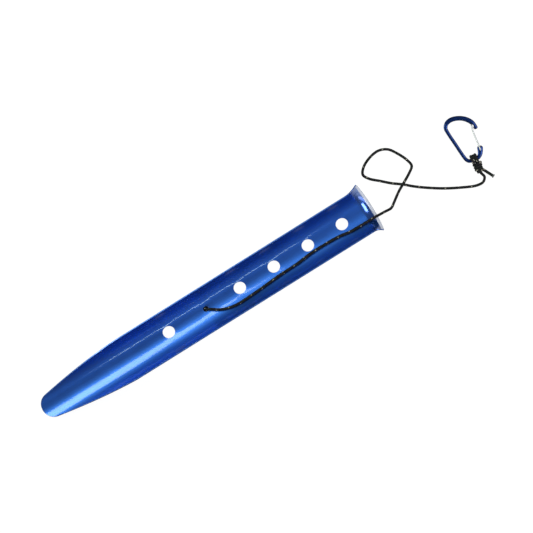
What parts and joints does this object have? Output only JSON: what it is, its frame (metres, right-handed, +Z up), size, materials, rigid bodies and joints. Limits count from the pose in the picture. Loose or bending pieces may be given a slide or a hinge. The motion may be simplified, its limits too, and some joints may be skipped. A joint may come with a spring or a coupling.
{
  "type": "tent stake",
  "caption": "Rolled sheet-metal channel stake for snow and sand, pierced along its middle, with a belled head and a knotted cord that ends in a small wire-gate carabiner.",
  "frame": {"origin": "on the ground, under the middle of the stake's blade, which lies on its back", "axes": "+X along the blade towards its belled head, +Y across it towards the side that the cord's loop lies on, +Z up, out of the blade's hollow side"},
  "size_m": [0.4149, 0.0676, 0.0196],
  "materials": {
    "blue_anodised": "satin blue anodised sheet",
    "cord_braid": "black braided cord with light reflective flecks",
    "navy_anodised": "satin dark blue anodised",
    "steel_wire": "bright drawn wire"
  },
  "bodies": {
    "stake": {"stake_blade": "blue_anodised", "guy_cord": "cord_braid", "stopper_knot": "cord_braid", "stopper_tail": "cord_braid", "hitch_turn_left": "cord_braid", "hitch_turn_right": "cord_braid", "hitch_barrel": "cord_braid", "hitch_tail": "cord_braid"},
    "carabiner": {"carabiner_frame": "navy_anodised"},
    "gate": {"wire_gate": "steel_wire"}
  },
  "joints": [
    {"name": "carabiner_swing", "type": "hinge", "parent": "stake", "child": "carabiner", "pos_m": [0.2439, -0.0121, 0.0045], "axis": [0.9903, -0.1392, 0], "range_deg": [0, 150]},
    {"name": "gate_hinge", "type": "hinge", "parent": "carabiner", "child": "gate", "pos_m": [0.252, -0.008, 0.00413], "axis": [0.0099, 0.0704, 0.9975], "range_deg": [0, 28], "stiffness_Nm_per_rad": 0.02, "springref_deg": -11.46}
  ]
}
